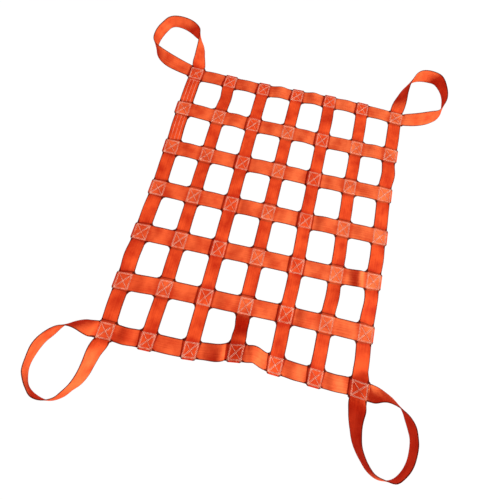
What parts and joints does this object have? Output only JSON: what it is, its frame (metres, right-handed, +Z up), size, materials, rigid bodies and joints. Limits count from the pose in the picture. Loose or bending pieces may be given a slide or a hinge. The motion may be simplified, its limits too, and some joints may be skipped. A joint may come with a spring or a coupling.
{
  "type": "cargo lifting net",
  "caption": "Cargo lifting net of flat orange webbing sewn into an open grid, lying spread on the ground, with a lifting loop of the border webbing standing at each corner.",
  "frame": {"origin": "on the ground under the middle crossing of the grid", "axes": "+Z up from the ground, +Y along the lengthwise straps to the far side of the net, +X to the right as in the picture"},
  "size_m": [1.1881, 1.4101, 0.0501],
  "materials": {
    "webbing_deep": "matte woven webbing, deep orange",
    "webbing_light": "matte woven webbing, lighter orange"
  },
  "bodies": {
    "root": {"border_strap": "webbing_deep", "lengthwise_1": "webbing_deep", "lengthwise_2": "webbing_deep", "lengthwise_3": "webbing_deep", "lengthwise_4": "webbing_deep", "lengthwise_5": "webbing_deep", "crosswise_1": "webbing_light", "crosswise_2": "webbing_light", "crosswise_3": "webbing_light", "crosswise_4": "webbing_light", "crosswise_5": "webbing_light"}
  },
  "joints": []
}
